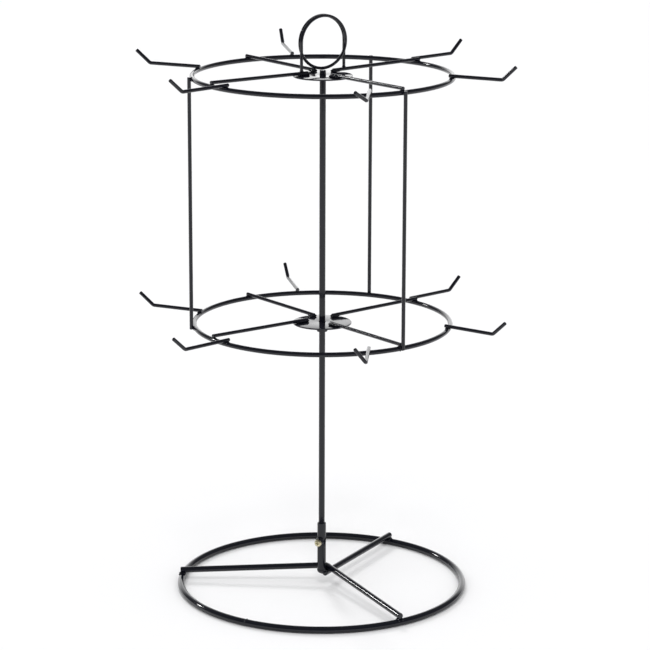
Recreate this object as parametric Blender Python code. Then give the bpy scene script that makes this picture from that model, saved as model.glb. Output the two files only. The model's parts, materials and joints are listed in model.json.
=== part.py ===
"""Countertop rotating display rack, a two-tier hook frame that turns on a pole clamped in a wire base.

Metres, +Z up, front at -Y. The origin is on the table top, on the pole's axis.
Angles are in degrees, anticlockwise from +X as seen from above.
"""

import math

import bmesh
import bpy
from mathutils import Matrix, Vector

MM = 0.001
GAP = 0.3 * MM  # left between any two pieces that touch or are welded

# Base: one ring, one V-bent cross rod, one straight rod, and the socket that they carry
BASE_ROD = 7.0 * MM
BASE_RING_RADIUS = 146.5 * MM
SPOKE_ROD = 6.0 * MM
SPOKE_END_RADIUS = 148.5 * MM
CROSS_ROD_ENDS = (175.0, 302.0)
CROSS_ROD_BEND = (5.2 * MM, 8.0 * MM)
CROSS_ROD_RISE = 7.3 * MM
CROSS_ROD_BEND_RADIUS = 6.0 * MM
BACK_ROD_END = 59.8
BACK_ROD_INNER_END = (3.2 * MM, -0.5 * MM)
BACK_ROD_RISE = 1.4 * MM

# Pole, the socket that holds it and the screw that clamps it
POLE_DIAMETER = 6.35 * MM
POLE_TOP = 541.0 * MM
SOCKET_DIAMETER = 9.0 * MM
SOCKET_TOP = 67.0 * MM
SOCKET_FLOOR = 2.0 * MM
SOCKET_BORE = 6.95 * MM
SCREW_HEIGHT = 47.5 * MM
SCREW_ANGLE = 248.0
SCREW_DIAMETER = 3.9 * MM
SCREW_HOLE = 4.5 * MM
SCREW_HEAD_DIAMETER = 7.4 * MM
SCREW_HEAD_HEIGHT = 2.6 * MM
SCREW_HEAD_GAP = 0.6 * MM
RECESS_SPAN = 4.2 * MM
RECESS_WIDTH = 1.0 * MM
RECESS_DEPTH = 1.3 * MM
NUT_ACROSS_FLATS = 8.0 * MM
NUT_THICKNESS = 4.0 * MM

# Turning frame: two tiers of ring, hub plate, spokes and hooks, joined by uprights
LOWER_TIER = 281.8 * MM
TOP_TIER = 535.4 * MM
TIER_RING_RADIUS = 130.5 * MM
TIER_ROD = 4.6 * MM
PLATE_RADIUS = 30.0 * MM
PLATE_THICKNESS = 1.5 * MM
PLATE_TOP = 0.65 * MM  # above the tier ring's centreline
RUNNING_GAP = 0.3 * MM
TIER_SPOKE_WIRE = 3.4 * MM
TIER_SPOKE_END_RADIUS = 132.0 * MM
# each spoke: angle at the ring, then angle and radius of its inner end on the plate
TIER_SPOKES = ((41.0, 61.0, 21.0), (126.7, 112.0, 21.5), (214.3, 176.0, 15.0), (305.7, 303.6, 15.6))
UPRIGHT_WIRE = 3.5 * MM
UPRIGHT_ANGLES = (68.0, 191.5, 305.9)
UPRIGHT_FOOT = 0.8 * MM  # below the lower ring's centreline

# Stop collar and washer that carry the turning frame
COLLAR_RADIUS = 5.5 * MM
COLLAR_HEIGHT = 6.3 * MM
WASHER_RADIUS = 7.0 * MM
WASHER_THICKNESS = 1.5 * MM

# Hooks: a straight arm welded on the ring, bent up at its end
HOOK_WIRE = 3.4 * MM
HOOK_INNER_LENGTH = 3.0 * MM
HOOK_ARM_LENGTH = 54.0 * MM
HOOK_TIP_LENGTH = 19.5 * MM
HOOK_BEND_RADIUS = 4.0 * MM
# each hook: angle of its weld, heading of its arm, lift of the arm, bend of the tip, roll of the tip
TOP_HOOKS = (
    (347.3, 333.7, 0.0, 44.0, 0.0),
    (43.7, 42.2, 0.0, 42.0, 0.0),
    (104.1, 100.7, 2.4, 41.0, 0.0),
    (165.7, 154.9, 0.0, 40.0, -5.0),
    (224.1, 221.7, -0.6, 41.0, 0.0),
    (289.8, 265.8, -0.5, 46.0, 46.0),
)
LOWER_HOOKS = (
    (345.4, 324.0, 0.0, 43.0, 0.0),
    (43.2, 41.0, 0.0, 42.0, 0.0),
    (101.6, 100.9, 0.0, 42.0, -4.5),
    (165.7, 154.9, 0.0, 40.0, -5.0),
    (223.7, 223.1, 0.0, 42.0, 2.5),
    (290.2, 266.0, 0.0, 70.0, 35.0),
)

# Sign clip: a coil of one and a half turns on two straight legs
CLIP_WIRE = 2.8 * MM
CLIP_RADIUS = 26.35 * MM
CLIP_PITCH = 3.2 * MM
CLIP_TURNS = 1.5
CLIP_ANGLE = 31.5
CLIP_CENTRE = (0.0, 11.3 * MM, 567.75 * MM)
CLIP_STEPS_PER_TURN = 32
CLIP_FRONT_FOOT = 540.25 * MM  # the clip stands on two of the top spokes
CLIP_REAR_FOOT = 540.35 * MM

RING_STEPS = 72
ROUND_STEPS = 24
WIRE_RESOLUTION = 2
ROD_RESOLUTION = 3


# ---------------------------------------------------------------- small helpers


def clear_scene():
    for obj in list(bpy.data.objects):
        bpy.data.objects.remove(obj, do_unlink=True)


def finish(name, colour, roughness, metallic):
    material = bpy.data.materials.new(name)
    material.use_nodes = True
    shader = material.node_tree.nodes["Principled BSDF"]
    shader.inputs["Base Color"].default_value = (*colour, 1.0)
    shader.inputs["Roughness"].default_value = roughness
    shader.inputs["Metallic"].default_value = metallic
    return material


def add_object(name, data, material, parent=None, height=0.0):
    data.materials.append(material)
    obj = bpy.data.objects.new(name, data)
    bpy.context.scene.collection.objects.link(obj)
    obj.parent = parent
    obj.location.z = height
    return obj


def axis_empty(name):
    empty = bpy.data.objects.new(name, None)
    bpy.context.scene.collection.objects.link(empty)
    return empty


def polar(angle, radius, z=0.0):
    turn = math.radians(angle)
    return Vector((radius * math.cos(turn), radius * math.sin(turn), z))


def on_top_of_ring(ring_rod, wire):
    """Height of a wire's centreline above the centreline of the ring that it lies on."""
    return ring_rod / 2 + GAP + wire / 2


# ---------------------------------------------------------------- turned pieces


def octagon(radius, centre_radius):
    """Section of a ring rod, with its flats up, down, in and out."""
    corner = radius / math.cos(math.pi / 8)
    angles = [math.pi / 8 + i * math.pi / 4 for i in range(8)]
    return [(centre_radius + corner * math.cos(a), corner * math.sin(a)) for a in angles]


def turned_mesh(name, profile, steps):
    """Spins a closed outline of (radius, height) points about Z."""
    shape = bmesh.new()
    verts = [shape.verts.new((radius, 0.0, z)) for radius, z in profile]
    pairs = [(verts[i - 1], verts[i]) for i in range(len(verts))]
    edges = [shape.edges.new(pair) for pair in pairs if any(vert.co.x > 0 for vert in pair)]
    bmesh.ops.spin(shape, geom=verts + edges, cent=(0, 0, 0), axis=(0, 0, 1),
                   angle=math.tau, steps=steps, use_merge=True)
    bmesh.ops.remove_doubles(shape, verts=shape.verts, dist=1e-6)
    bmesh.ops.recalc_face_normals(shape, faces=shape.faces)
    mesh = bpy.data.meshes.new(name)
    shape.to_mesh(mesh)
    shape.free()
    mesh.shade_smooth()
    mesh.set_sharp_from_angle(angle=math.radians(40))
    return mesh


def ring(name, radius, rod, material, parent=None, height=0.0):
    mesh = turned_mesh(name, octagon(rod / 2, radius), RING_STEPS)
    return add_object(name, mesh, material, parent, height)


def washer_outline(inner, outer, bottom, top):
    return [(inner, bottom), (outer, bottom), (outer, top), (inner, top)]


# ---------------------------------------------------------------- wires and rods


def rounded_corner(before, corner, after, bend_radius, steps=6):
    """Points of the arc that rounds one corner of a bent wire."""
    into = (corner - before).normalized()
    out = (after - corner).normalized()
    turn = into.angle(out)
    reach = bend_radius * math.tan(turn / 2)
    start = corner - into * reach
    inward = (out - into * into.dot(out)).normalized()
    centre = start + inward * bend_radius
    points = []
    for i in range(steps + 1):
        angle = turn * i / steps
        points.append(centre - inward * bend_radius * math.cos(angle) + into * bend_radius * math.sin(angle))
    return points


def bent_path(corners, bend_radius):
    points = [corners[0]]
    for before, corner, after in zip(corners, corners[1:], corners[2:]):
        points += rounded_corner(before, corner, after, bend_radius)
    return points + [corners[-1]]


def wire(name, points, diameter, material, parent=None, height=0.0, resolution=WIRE_RESOLUTION):
    curve = bpy.data.curves.new(name, "CURVE")
    curve.dimensions = "3D"
    curve.bevel_depth = diameter / 2
    curve.bevel_resolution = resolution
    curve.use_fill_caps = True
    spline = curve.splines.new("POLY")
    spline.points.add(len(points) - 1)
    for spot, point in zip(spline.points, points):
        spot.co = (*point, 1.0)
    return add_object(name, curve, material, parent, height)


# ---------------------------------------------------------------- base


def make_base(black):
    ring("base_ring", BASE_RING_RADIUS, BASE_ROD, black, height=BASE_ROD / 2)
    level = BASE_ROD / 2 + on_top_of_ring(BASE_ROD, SPOKE_ROD)
    left, right = [polar(angle, SPOKE_END_RADIUS, level) for angle in CROSS_ROD_ENDS]
    bend = Vector((*CROSS_ROD_BEND, level + CROSS_ROD_RISE))
    path = bent_path([left, bend, right], CROSS_ROD_BEND_RADIUS)
    wire("base_cross_rod", path, SPOKE_ROD, black, resolution=ROD_RESOLUTION)
    inner = Vector((*BACK_ROD_INNER_END, level + BACK_ROD_RISE))
    outer = polar(BACK_ROD_END, SPOKE_END_RADIUS, level)
    wire("base_back_rod", [outer, inner], SPOKE_ROD, black, resolution=ROD_RESOLUTION)
    return level + BACK_ROD_RISE + SPOKE_ROD / 2 + GAP


def screw_turn():
    """Rotation that lays a piece's +Z along the lock screw's axis."""
    return (0.0, math.pi / 2, math.radians(SCREW_ANGLE))


def cut(obj, cutter):
    """Cuts one closed shape out of another, and keeps the cutter as a hidden guide."""
    cutter.hide_render = True
    cutter.display_type = "WIRE"
    boolean = obj.modifiers.new("cut", "BOOLEAN")
    boolean.operation = "DIFFERENCE"
    boolean.solver = "EXACT"
    boolean.object = cutter


def make_socket(bottom, black):
    outer = SOCKET_DIAMETER / 2
    bore = SOCKET_BORE / 2
    lip = 0.5 * MM
    outline = [(0.0, bottom), (outer - lip, bottom), (outer, bottom + lip), (outer, SOCKET_TOP - lip),
               (outer - lip, SOCKET_TOP), (bore, SOCKET_TOP), (bore, bottom + SOCKET_FLOOR),
               (0.0, bottom + SOCKET_FLOOR)]
    socket = add_object("base_socket", turned_mesh("base_socket", outline, ROUND_STEPS), black)
    hole = turned_mesh("screw_hole_cutter", [(0.0, 0.0), (SCREW_HOLE / 2, 0.0),
                                             (SCREW_HOLE / 2, SOCKET_DIAMETER), (0.0, SOCKET_DIAMETER)], 16)
    cutter = add_object("screw_hole_cutter", hole, black, height=SCREW_HEIGHT)
    cutter.rotation_euler = screw_turn()
    cut(socket, cutter)
    return bottom + SOCKET_FLOOR + GAP


def make_weld_nut(black):
    """Hexagon nut standing on one corner, with an end face towards the socket."""
    inner_face = SOCKET_DIAMETER / 2 + GAP
    corner = NUT_ACROSS_FLATS / 2 / math.cos(math.pi / 6)
    mesh = turned_mesh("weld_nut", washer_outline(SCREW_HOLE / 2, corner, inner_face,
                                                  inner_face + NUT_THICKNESS), 6)
    nut = add_object("weld_nut", mesh, black, height=SCREW_HEIGHT)
    nut.rotation_euler = screw_turn()
    return inner_face + NUT_THICKNESS


def cross_outline(reach):
    """Corners of a plus sign whose arms reach this far from its centre."""
    half = RECESS_WIDTH / 2
    arm = [(half, -half), (reach, -half), (reach, half)]
    corners = []
    for quarter in range(4):
        turn = Matrix.Rotation(quarter * math.pi / 2, 3, "Z")
        corners += [turn @ Vector((x, y, 0.0)) for x, y in arm]
    return corners


def cross_recess(height):
    """Tapered cross that cuts the driver recess down into a screw head."""
    shape = bmesh.new()
    levels = ((height + RECESS_DEPTH, 0.5 * RECESS_SPAN), (height - RECESS_DEPTH, 0.28 * RECESS_SPAN))
    loops = [[shape.verts.new(corner + Vector((0, 0, z))) for corner in cross_outline(reach)]
             for z, reach in levels]
    for loop in loops:
        shape.faces.new(loop)
    for i in range(len(loops[0])):
        shape.faces.new((loops[0][i - 1], loops[0][i], loops[1][i], loops[1][i - 1]))
    bmesh.ops.recalc_face_normals(shape, faces=shape.faces)
    mesh = bpy.data.meshes.new("recess_cutter")
    shape.to_mesh(mesh)
    shape.free()
    return mesh


def make_lock_screw(nut_face, zinc):
    """Pan-head screw whose tip stops just short of the pole. Its own +Z points out of the head."""
    shank = SCREW_DIAMETER / 2
    head = SCREW_HEAD_DIAMETER / 2
    tip = POLE_DIAMETER / 2 + GAP
    seat = nut_face + SCREW_HEAD_GAP
    top = seat + SCREW_HEAD_HEIGHT
    outline = [(0.0, tip), (shank - 0.5 * MM, tip), (shank, tip + 0.5 * MM), (shank, seat), (head, seat),
               (head, seat + 0.45 * SCREW_HEAD_HEIGHT), (0.9 * head, seat + 0.75 * SCREW_HEAD_HEIGHT),
               (0.62 * head, seat + 0.95 * SCREW_HEAD_HEIGHT), (0.0, top)]
    screw = add_object("lock_screw", turned_mesh("lock_screw", outline, ROUND_STEPS), zinc, height=SCREW_HEIGHT)
    screw.rotation_euler = screw_turn()
    cutter = add_object("recess_cutter", cross_recess(top), zinc, height=SCREW_HEIGHT)
    cutter.rotation_euler = screw_turn()
    cut(screw, cutter)


# ---------------------------------------------------------------- pole


def make_pole(bottom, black, nylon):
    axis = axis_empty("pole_axis")
    radius = POLE_DIAMETER / 2
    edge = 0.4 * MM
    outline = [(0.0, bottom), (radius - edge, bottom), (radius, bottom + edge), (radius, POLE_TOP - edge),
               (radius - edge, POLE_TOP), (0.0, POLE_TOP)]
    add_object("pole", turned_mesh("pole", outline, ROUND_STEPS), black, axis)

    washer_top = LOWER_TIER + PLATE_TOP - PLATE_THICKNESS - GAP
    washer_bottom = washer_top - WASHER_THICKNESS
    hole = radius + GAP
    washer = washer_outline(hole, WASHER_RADIUS, washer_bottom, washer_top)
    add_object("thrust_washer", turned_mesh("thrust_washer", washer, ROUND_STEPS), nylon, axis)
    collar_top = washer_bottom - GAP
    collar = washer_outline(hole, COLLAR_RADIUS, collar_top - COLLAR_HEIGHT, collar_top)
    add_object("stop_collar", turned_mesh("stop_collar", collar, ROUND_STEPS), black, axis)


# ---------------------------------------------------------------- turning frame


def make_hub_plate(name, height, black, axis):
    outline = washer_outline(POLE_DIAMETER / 2 + RUNNING_GAP, PLATE_RADIUS,
                             PLATE_TOP - PLATE_THICKNESS, PLATE_TOP)
    add_object(name, turned_mesh(name, outline, 2 * ROUND_STEPS), black, axis, height)


def spoke_ends(spoke):
    """Outer end on the ring and inner end on the hub plate."""
    ring_angle, plate_angle, plate_radius = spoke
    outer = polar(ring_angle, TIER_SPOKE_END_RADIUS, on_top_of_ring(TIER_ROD, TIER_SPOKE_WIRE))
    inner = polar(plate_angle, plate_radius * MM, PLATE_TOP + GAP + TIER_SPOKE_WIRE / 2)
    return outer, inner


def hook_path(weld_angle, heading, lift, bend, roll):
    """Centreline of one hook, in its tier's frame."""
    weld = polar(weld_angle, TIER_RING_RADIUS, on_top_of_ring(TIER_ROD, HOOK_WIRE))
    arm = polar(heading, math.cos(math.radians(lift)), math.sin(math.radians(lift)))
    side = polar(heading - 90, 1.0)
    up = side.cross(arm)
    lean = up * math.cos(math.radians(roll)) + side * math.sin(math.radians(roll))
    tip = arm * math.cos(math.radians(bend)) + lean * math.sin(math.radians(bend))
    elbow = weld + arm * HOOK_ARM_LENGTH
    return bent_path([weld - arm * HOOK_INNER_LENGTH, elbow, elbow + tip * HOOK_TIP_LENGTH], HOOK_BEND_RADIUS)


def make_tier(prefix, height, hooks, black, axis):
    ring(f"{prefix}_ring", TIER_RING_RADIUS, TIER_ROD, black, axis, height)
    make_hub_plate(f"{prefix}_hub_plate", height, black, axis)
    for number, spoke in enumerate(TIER_SPOKES, 1):
        wire(f"{prefix}_spoke_{number}", spoke_ends(spoke), TIER_SPOKE_WIRE, black, axis, height)
    for number, hook in enumerate(hooks, 1):
        wire(f"{prefix}_hook_{number}", hook_path(*hook), HOOK_WIRE, black, axis, height)


def make_uprights(black, axis):
    radius = TIER_RING_RADIUS + on_top_of_ring(TIER_ROD, UPRIGHT_WIRE)
    bottom = LOWER_TIER - UPRIGHT_FOOT
    top = TOP_TIER + TIER_ROD / 2
    for number, angle in enumerate(UPRIGHT_ANGLES, 1):
        wire(f"upright_{number}", [polar(angle, radius, bottom), polar(angle, radius, top)],
             UPRIGHT_WIRE, black, axis)


def clip_path():
    """Up the front leg, one and a half turns over the top, and down the rear leg."""
    across = polar(CLIP_ANGLE, 1.0)
    forward = polar(CLIP_ANGLE - 90, 1.0)
    centre = Vector(CLIP_CENTRE)
    steps = round(CLIP_STEPS_PER_TURN * CLIP_TURNS)
    coil = []
    for i in range(steps + 1):
        turn = CLIP_TURNS * i / steps
        angle = math.tau * turn
        in_plane = Vector((0, 0, 1)) * math.sin(angle) - across * math.cos(angle)
        coil.append(centre + in_plane * CLIP_RADIUS + forward * CLIP_PITCH * (CLIP_TURNS / 2 - turn))
    front_foot = coil[0].copy()
    front_foot.z = CLIP_FRONT_FOOT
    rear_foot = coil[-1].copy()
    rear_foot.z = CLIP_REAR_FOOT
    return [front_foot] + coil + [rear_foot]


def make_turning_frame(black):
    axis = axis_empty("frame_axis")
    make_tier("lower", LOWER_TIER, LOWER_HOOKS, black, axis)
    make_tier("top", TOP_TIER, TOP_HOOKS, black, axis)
    make_uprights(black, axis)
    wire("sign_clip", clip_path(), CLIP_WIRE, black, axis)


def main():
    clear_scene()
    black = finish("black_powder_coat", (0.018, 0.019, 0.024), 0.28, 0.0)
    zinc = finish("yellow_zinc", (0.62, 0.46, 0.16), 0.3, 1.0)
    nylon = finish("natural_nylon", (0.82, 0.8, 0.74), 0.5, 0.0)
    socket_bottom = make_base(black)
    pole_bottom = make_socket(socket_bottom, black)
    nut_face = make_weld_nut(black)
    make_lock_screw(nut_face, zinc)
    make_pole(pole_bottom, black, nylon)
    make_turning_frame(black)


main()
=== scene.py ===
# %% [markdown]
# # A countertop rotating display rack
# The rack is a shop fitting. A wire base clamps a pole upright, and a two-tier frame of hooks turns round
# that pole, with a coiled clip for a price card on top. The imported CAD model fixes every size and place.
# This lesson gives each piece the round section, the welds and the gloss coating of the real one, and
# leaves the CAD solids behind as hidden collision shapes.

# %% Load the frame
import json
import math

import bmesh
import bpy
import numpy as np
from mathutils import Matrix, Vector


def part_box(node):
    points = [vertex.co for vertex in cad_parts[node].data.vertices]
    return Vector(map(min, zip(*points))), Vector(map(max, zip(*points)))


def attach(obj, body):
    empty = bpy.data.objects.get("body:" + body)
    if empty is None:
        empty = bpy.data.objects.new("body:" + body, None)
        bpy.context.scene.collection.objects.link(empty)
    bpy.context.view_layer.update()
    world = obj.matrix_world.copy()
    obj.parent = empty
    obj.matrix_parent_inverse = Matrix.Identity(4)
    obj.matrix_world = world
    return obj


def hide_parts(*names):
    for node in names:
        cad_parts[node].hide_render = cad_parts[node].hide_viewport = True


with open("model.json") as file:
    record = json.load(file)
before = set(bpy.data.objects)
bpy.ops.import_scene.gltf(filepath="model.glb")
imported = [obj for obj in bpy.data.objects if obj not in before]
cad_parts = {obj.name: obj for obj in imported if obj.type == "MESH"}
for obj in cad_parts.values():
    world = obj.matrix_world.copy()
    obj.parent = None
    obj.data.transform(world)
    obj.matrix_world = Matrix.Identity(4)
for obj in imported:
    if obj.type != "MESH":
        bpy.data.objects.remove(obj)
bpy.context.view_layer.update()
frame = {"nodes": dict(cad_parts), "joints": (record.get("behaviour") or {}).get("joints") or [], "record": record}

MM = 0.001
NODES = frame["nodes"]
RECORD = frame["record"]
BODY_OF = {node: body for body, members in RECORD["behaviour"]["bodies"].items() for node in members}
TIERS = ("lower", "top")


def spot(radius, angle, height=0.0):
    """A point at a distance and an angle from an upright axis."""
    return Vector((radius * math.cos(angle), radius * math.sin(angle), height))


# %% [markdown]
# ## Small tools for node trees
# Every tree below is built the same way: make a node, set its options, and wire its sockets. A few short
# helpers keep those lines readable.


# %% Node helpers
def adjust(node, settings):
    """Sets a node. A setting that names a property sets it, and any other sets the input of that name."""
    for name, value in settings.items():
        if name in node.bl_rna.properties:
            setattr(node, name, value)
        else:
            node.inputs[name.replace("_", " ")].default_value = value
    return node


def put(tree, kind, **settings):
    return adjust(tree.nodes.new(kind), settings)


def wire_up(tree, *links):
    for start, end in links:
        tree.links.new(start, end)


def chain(tree, start, *nodes):
    """Runs a socket through the first input and first output of each node. Returns the last output."""
    for node in nodes:
        tree.links.new(start, node.inputs[0])
        start = node.outputs[0]
    return start


def feed(tree, socket, value):
    """Gives an input a value, or a link if the value is another node's output."""
    if isinstance(value, bpy.types.NodeSocket):
        tree.links.new(value, socket)
    else:
        socket.default_value = value


def math_node(tree, operation, first, second, clamp=False):
    """A Math node whose inputs are sockets or numbers. Returns its output socket."""
    node = put(tree, "ShaderNodeMath", operation=operation, use_clamp=clamp)
    feed(tree, node.inputs[0], first)
    feed(tree, node.inputs[1], second)
    return node.outputs[0]


def times(tree, first, second):
    return math_node(tree, "MULTIPLY", first, second)


def declare(tree, inputs, outputs):
    """Gives a node group its named sockets. A number after an input is its starting value."""
    for name, kind, *start in inputs:
        socket = tree.interface.new_socket(name, in_out="INPUT", socket_type=kind)
        if start:
            socket.default_value = start[0]
    for name, kind in outputs:
        tree.interface.new_socket(name, in_out="OUTPUT", socket_type=kind)
    return tree.nodes.new("NodeGroupInput").outputs, tree.nodes.new("NodeGroupOutput").inputs


def material_base(name, **settings):
    """A new material, its node tree and its shader."""
    material = bpy.data.materials.new(name)
    material.use_nodes = True
    tree = material.node_tree
    return material, tree, adjust(tree.nodes["Principled BSDF"], settings)


def noise(tree, **settings):
    """A noise texture in object coordinates. Returns its value."""
    place = put(tree, "ShaderNodeTexCoord").outputs["Object"]
    return chain(tree, place, put(tree, "ShaderNodeTexNoise", **settings))


FLOAT = "NodeSocketFloat"
GEOMETRY = "NodeSocketGeometry"
print("node helpers ready")

# %% [markdown]
# ## The studio
# A rack of thin black wire is mostly outline, so the picture needs a bright, empty set: a pale floor that
# runs out of view, a white sky, and large soft lights. The camera stands well back with a long lens and
# looks slightly down, which keeps the two tiers almost parallel and shows each ring as a flat oval.

# %% Camera
CAMERA_PLACE = (-0.0089, -2.6309, 0.9420)
CAMERA_TURN = (1.3239, -0.0027, -0.0038)
CAMERA_LENS = 147.17

scene = bpy.context.scene
camera = bpy.data.objects.new("camera", bpy.data.cameras.new("camera"))
camera.data.lens = CAMERA_LENS
camera.data.sensor_width = 36.0
camera.location = CAMERA_PLACE
camera.rotation_euler = CAMERA_TURN
scene.collection.objects.link(camera)
scene.camera = camera
scene.view_settings.view_transform = "Standard"
print(f"camera {camera.location.length:.2f} m from the foot of the pole, {CAMERA_LENS} mm lens")

# %% [markdown]
# Gloss black shows almost no colour of its own: it shows the room. A rod that runs across the picture
# mirrors the ceiling, and one that runs away from the camera mirrors the backdrop, at a grazing angle
# that makes it bright. So the sky is set up as a room for reflections, with a bright backdrop and a dim
# ceiling, and as an even white dome for everything else, which keeps the floor white.

# %% Floor and room
FLOOR_HALF = 14.0
FLOOR_COLOUR = (0.9, 0.9, 0.905, 1.0)
DOME = 0.86
DOME_COLOUR = (0.995, 0.995, 1.0, 1.0)
CEILING = 0.16
BACKDROP = 1.9
BACKDROP_TOP = 0.66  # a mirror ray that points up by more than this meets the ceiling
BACKDROP_LEVEL = 0.25  # and one that points up by less than this meets the backdrop at its brightest
BACKDROP_EDGE = 0.68  # how far toward +Y a mirror ray has to point before it meets the backdrop
BACKDROP_CORE = 0.95  # and how far before the backdrop is at its brightest


def floor_sheet():
    mesh = bpy.data.meshes.new("floor")
    corners = [(x * FLOOR_HALF, y * FLOOR_HALF, 0) for x, y in ((-1, -1), (1, -1), (1, 1), (-1, 1))]
    mesh.from_pydata(corners, [], [(0, 1, 2, 3)])
    paint = material_base("pale floor", Base_Color=FLOOR_COLOUR, Roughness=0.85, Specular_IOR_Level=0.2)[0]
    mesh.materials.append(paint)
    sheet = bpy.data.objects.new("floor", mesh)
    scene.collection.objects.link(sheet)


def fade(tree, start, end):
    """A soft step from 0 to 1 between two values."""
    return put(tree, "ShaderNodeMapRange", interpolation_type="SMOOTHSTEP", From_Min=start, From_Max=end)


def room():
    """An even white dome, except to mirror rays, which see a bright backdrop and a dim ceiling."""
    world = bpy.data.worlds.new("studio room")
    world.use_nodes = True
    tree = world.node_tree
    glow = tree.nodes["Background"]
    glow.inputs["Color"].default_value = DOME_COLOUR
    way = put(tree, "ShaderNodeSeparateXYZ")
    behind = fade(tree, BACKDROP_EDGE, BACKDROP_CORE)
    height = fade(tree, BACKDROP_TOP, BACKDROP_LEVEL)
    wall = put(tree, "ShaderNodeMapRange", To_Min=CEILING, To_Max=BACKDROP)
    seen = put(tree, "ShaderNodeMix", A=DOME)
    wire_up(tree, (put(tree, "ShaderNodeTexCoord").outputs["Generated"], way.inputs[0]),
            (way.outputs["Y"], behind.inputs["Value"]), (way.outputs["Z"], height.inputs["Value"]),
            (times(tree, behind.outputs[0], height.outputs[0]), wall.inputs["Value"]),
            (put(tree, "ShaderNodeLightPath").outputs["Is Glossy Ray"], seen.inputs["Factor"]),
            (wall.outputs[0], seen.inputs["B"]), (seen.outputs["Result"], glow.inputs["Strength"]))
    scene.world = world


floor_sheet()
room()
print(f"room: dome {DOME}, ceiling {CEILING}, backdrop {BACKDROP}")

# %% [markdown]
# Two soft lamps throw the pair of pale shadows under each rod, one from low behind and one from nearly
# overhead, and the rods don't mirror them. A third, at the back left, is only there to be mirrored: it
# draws the thin white line along any rod that points the right way, and casts no shadow on the floor.

# %% Lamps
LAMPS = {  # the way its light travels, its power, its softness in degrees, and whether it is only mirrored
    "back lamp": ((0.4, -1.4, -1.0), 0.85, 11.0, False),
    "top lamp": ((0.0, 0.5, -1.0), 0.50, 11.0, False),
    "gleam lamp": ((0.80, -0.43, -0.42), 0.5, 5.0, True),
}


def lamp(name, way, power, softness, only_mirrored):
    light = bpy.data.lights.new(name, "SUN")
    light.energy = power
    light.angle = math.radians(softness)
    stand = bpy.data.objects.new(name, light)
    stand.rotation_euler = Vector(way).to_track_quat("-Z", "Y").to_euler()
    stand.location = -2.0 * Vector(way)
    stand.visible_diffuse = not only_mirrored
    stand.visible_glossy = only_mirrored
    scene.collection.objects.link(stand)


for lamp_name, settings in LAMPS.items():
    lamp(lamp_name, *settings)
print("lamps:", ", ".join(LAMPS))

# %% [markdown]
# ## Effects that several finishes share
# A powder coat is melted plastic. It flows into tiny dimples called orange peel, it is thin on sharp
# edges, and dust settles on whatever faces up. Each effect is a shader node group that gives out plain
# values, so that each finish can place it with its own sizes. Object coordinates hold the patterns still
# on the metal, because every finished piece sits at the origin.


# %% Orange peel group
def orange_peel_group():
    tree = bpy.data.node_groups.new("orange peel", "ShaderNodeTree")
    ins, outs = declare(tree, [("Cells per Metre", FLOAT, 600.0), ("Sag", FLOAT, 0.4)],
                        [("Height", FLOAT), ("Patches", FLOAT)])
    dimples = noise(tree, Detail=2.0, Roughness=0.45)
    sags = noise(tree, Detail=1.0, Roughness=0.5)
    patches = noise(tree, Scale=38.0, Detail=4.0, Roughness=0.6)
    slow = times(tree, ins["Cells per Metre"], 0.22)
    height = math_node(tree, "ADD", dimples, times(tree, sags, ins["Sag"]))
    wire_up(tree, (ins["Cells per Metre"], dimples.node.inputs["Scale"]), (slow, sags.node.inputs["Scale"]),
            (height, outs["Height"]), (patches, outs["Patches"]))
    return tree


# %% Thin edges and settled dust groups
def thin_edge_group():
    """Where the coating is thin: reads the edge value that each piece stores on its own corners."""
    tree = bpy.data.node_groups.new("thin edges", "ShaderNodeTree")
    ins, outs = declare(tree, [("Breakup", FLOAT, 0.5)], [("Mask", FLOAT)])
    edge = put(tree, "ShaderNodeAttribute", attribute_name="edge")
    chips = noise(tree, Scale=900.0, Detail=3.0, Roughness=0.6)
    broken = times(tree, chips, ins["Breakup"])
    mask = math_node(tree, "SUBTRACT", edge.outputs["Fac"], broken, clamp=True)
    wire_up(tree, (mask, outs["Mask"]))
    return tree


def dust_group():
    """Fine dust on faces that look up, heavier in some patches than in others."""
    tree = bpy.data.node_groups.new("settled dust", "ShaderNodeTree")
    ins, outs = declare(tree, [("Amount", FLOAT, 0.5)], [("Mask", FLOAT)])
    facing = put(tree, "ShaderNodeSeparateXYZ")
    wire_up(tree, (put(tree, "ShaderNodeNewGeometry").outputs["Normal"], facing.inputs[0]))
    specks = noise(tree, Scale=2400.0, Detail=4.0, Roughness=0.75)
    drifts = noise(tree, Scale=55.0, Detail=2.0)
    upward = math_node(tree, "POWER", math_node(tree, "MAXIMUM", facing.outputs["Z"], 0.0), 3.0)
    above_half = math_node(tree, "SUBTRACT", specks, 0.5, clamp=True)
    spots = times(tree, above_half, 5.0)
    cover = times(tree, times(tree, spots, drifts), upward)
    wire_up(tree, (math_node(tree, "MULTIPLY", cover, ins["Amount"], clamp=True), outs["Mask"]))
    return tree


ORANGE_PEEL = orange_peel_group()
THIN_EDGES = thin_edge_group()
DUST = dust_group()
print("shader groups:", ", ".join(group.name for group in (ORANGE_PEEL, THIN_EDGES, DUST)))

# %% [markdown]
# ## The black coating
# The steel is coated black with a touch of blue. The same recipe serves wire, sheet and weld bead with
# different dimple sizes, so it is one function. Colour moves a little from patch to patch, thin edges
# turn grey, dust lifts the colour and kills the shine, and the orange peel goes through a Bump node.


# %% Coating material
COAT_DARK = (0.0026, 0.0030, 0.0062, 1.0)
COAT_LIGHT = (0.0058, 0.0064, 0.0115, 1.0)
THIN_COAT = (0.045, 0.047, 0.055, 1.0)
DUST_COLOUR = (0.30, 0.30, 0.31, 1.0)
COAT_IOR = 1.46


def group_node(tree, group, **values):
    return put(tree, "ShaderNodeGroup", node_tree=group, **values)


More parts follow.
